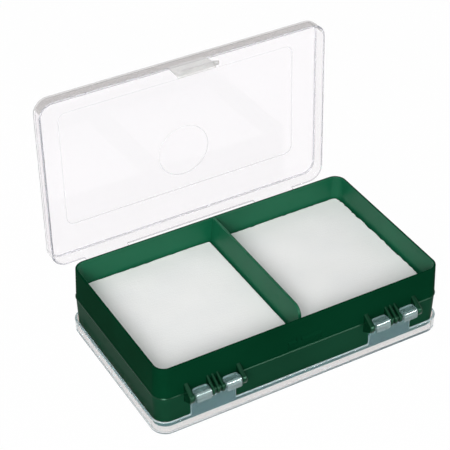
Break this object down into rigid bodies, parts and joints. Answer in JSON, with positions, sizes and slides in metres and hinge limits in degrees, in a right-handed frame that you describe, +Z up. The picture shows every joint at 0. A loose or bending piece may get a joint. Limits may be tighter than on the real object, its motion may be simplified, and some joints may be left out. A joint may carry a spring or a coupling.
{
  "type": "tackle box",
  "caption": "Double-sided tackle box: green moulded tray with dividers and foam pads between two clear hinged lids, the upper one open.",
  "frame": {"origin": "centre of the closed lower lid's underside, on the surface that the box stands on", "axes": "+X along the box's length to the right, +Y to the back where the upper lid is hinged, +Z up"},
  "size_m": [0.1792, 0.1441, 0.1392],
  "materials": {
    "tray": "moulded dark green polypropylene with a soft gloss",
    "lid": "clear, faintly milky polypropylene, glossy",
    "foam": "white closed-cell polyethylene foam sheet, cut edges slightly torn"
  },
  "bodies": {
    "tray": {"tray_body": "tray", "foam_pad_left": "foam", "foam_pad_right": "foam"},
    "upper_lid": {"top_lid": "lid"},
    "lower_lid": {"bottom_lid": "lid"}
  },
  "joints": [
    {"name": "upper_lid_hinge", "type": "hinge", "parent": "tray", "child": "upper_lid", "pos_m": [0, 0.0564, 0.0246], "axis": [-1, 0, 0], "range_deg": [-91.9, 88.1]},
    {"name": "lower_lid_hinge", "type": "hinge", "parent": "tray", "child": "lower_lid", "pos_m": [0, -0.0564, 0.0246], "axis": [-1, 0, 0], "range_deg": [0, 180]}
  ]
}
